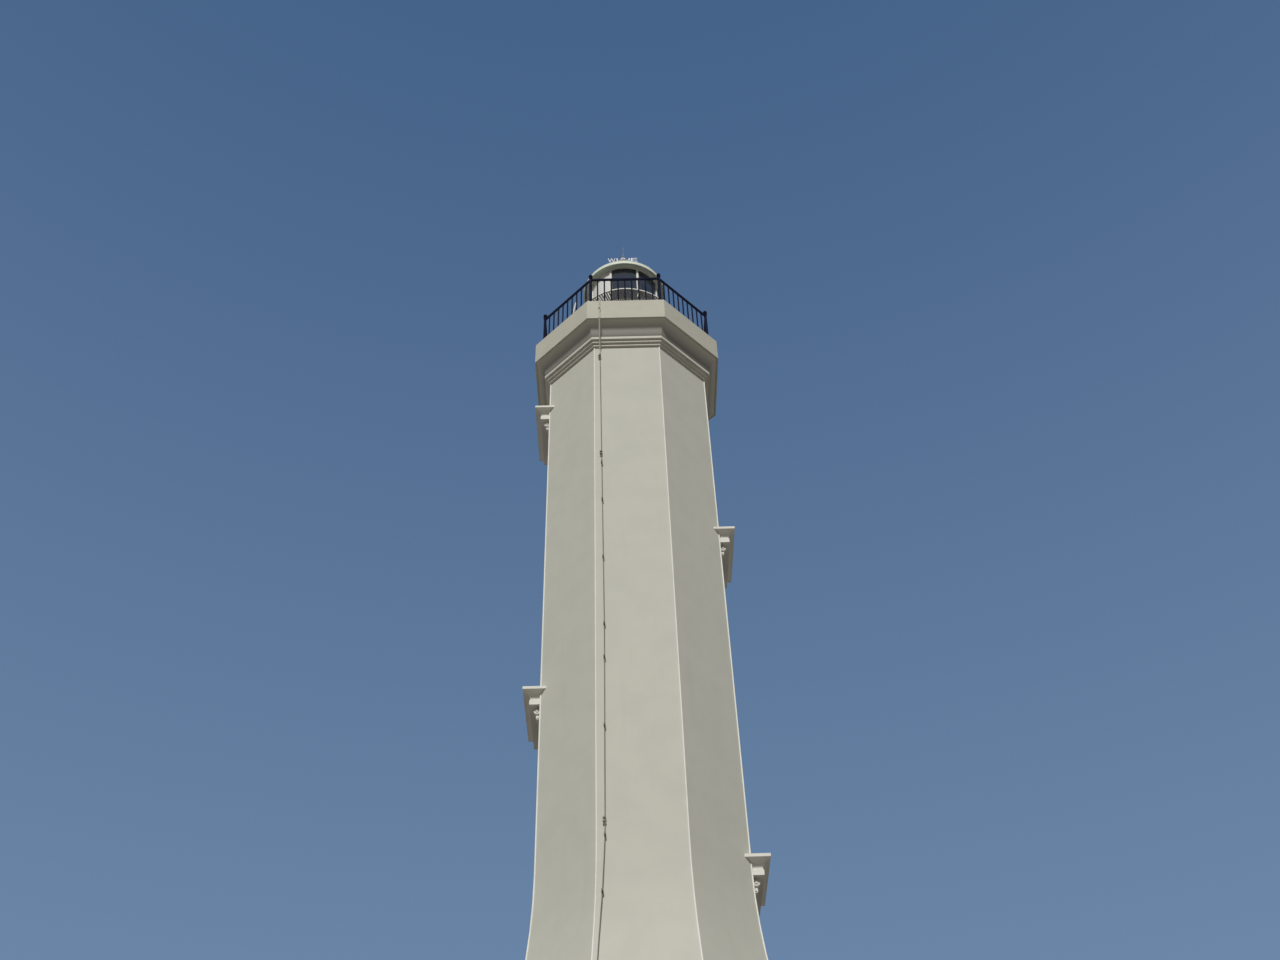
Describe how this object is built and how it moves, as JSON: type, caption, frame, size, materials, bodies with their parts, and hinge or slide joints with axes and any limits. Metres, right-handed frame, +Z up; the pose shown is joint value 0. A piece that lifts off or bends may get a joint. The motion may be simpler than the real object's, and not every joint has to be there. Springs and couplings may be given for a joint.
{
  "type": "octagonal masonry lighthouse",
  "caption": "White octagonal lighthouse tower with flared foot, hooded stair windows, coved gallery, iron railing, round lantern and wind vane.",
  "frame": {"origin": "centre of the plinth's underside, on the ground", "axes": "+Z up along the tower's axis, +Y to the back (north), -Y to the entrance and the picture's camera, +X east"},
  "size_m": [7.3948, 7.9948, 32.9994],
  "materials": {
    "white_plaster": "painted lime render",
    "trim_plaster": "painted cement mouldings",
    "plinth_stone": "dressed stone",
    "floor_tile": "clay tile",
    "door_wood": "varnished panelled timber",
    "sash_wood": "painted timber",
    "window_glass": "clear pane",
    "railing_iron": "dark painted iron",
    "lantern_paint": "white gloss paint",
    "lantern_glass": "clear curved pane",
    "roof_paint": "pale weathered paint",
    "vane_paint": "white paint",
    "vane_iron": "dark painted iron",
    "conductor_wire": "weathered wire"
  },
  "bodies": {
    "tower": {"base_wall_e": "white_plaster", "base_wall_n": "white_plaster", "base_wall_ne": "white_plaster", "base_wall_nw": "white_plaster", "base_wall_s": "white_plaster", "base_wall_se": "white_plaster", "base_wall_sw": "white_plaster", "base_wall_w": "white_plaster", "blank_panels": "lantern_paint", "catwalk": "lantern_paint", "entrance_door": "door_wood", "entrance_steps": "plinth_stone", "gallery_cornice": "trim_plaster", "gallery_deck": "trim_plaster", "ground_floor": "floor_tile", "lantern_door": "lantern_paint", "lantern_glass": "lantern_glass", "lantern_head": "lantern_paint", "lantern_mullions": "lantern_paint", "lantern_roof": "roof_paint", "lantern_sill": "lantern_paint", "lantern_wall": "lantern_paint", "lightning_conductor": "conductor_wire", "plinth": "plinth_stone", "rail_panel_e": "railing_iron", "rail_panel_n": "railing_iron", "rail_panel_ne": "railing_iron", "rail_panel_nw": "railing_iron", "rail_panel_s": "railing_iron", "rail_panel_se": "railing_iron", "rail_panel_sw": "railing_iron", "rail_panel_w": "railing_iron", "railing_posts": "railing_iron", "shaft_wall_e": "white_plaster", "shaft_wall_n": "white_plaster", "shaft_wall_ne": "white_plaster", "shaft_wall_nw": "white_plaster", "shaft_wall_s": "white_plaster", "shaft_wall_se": "white_plaster", "shaft_wall_sw": "white_plaster", "shaft_wall_w": "white_plaster", "vane_mast": "vane_paint", "vent_ball": "roof_paint", "window_hood_1": "trim_plaster", "window_hood_2": "trim_plaster", "window_hood_3": "trim_plaster", "window_hood_4": "trim_plaster", "window_hood_5": "trim_plaster", "window_panes": "window_glass", "window_sashes": "sash_wood"},
    "vane": {"vane_pointer": "vane_iron"}
  },
  "joints": [
    {"name": "vane_turn", "type": "hinge", "parent": "tower", "child": "vane", "pos_m": [0, 0, 32.93], "axis": [0, 0, 1], "continuous": true}
  ]
}
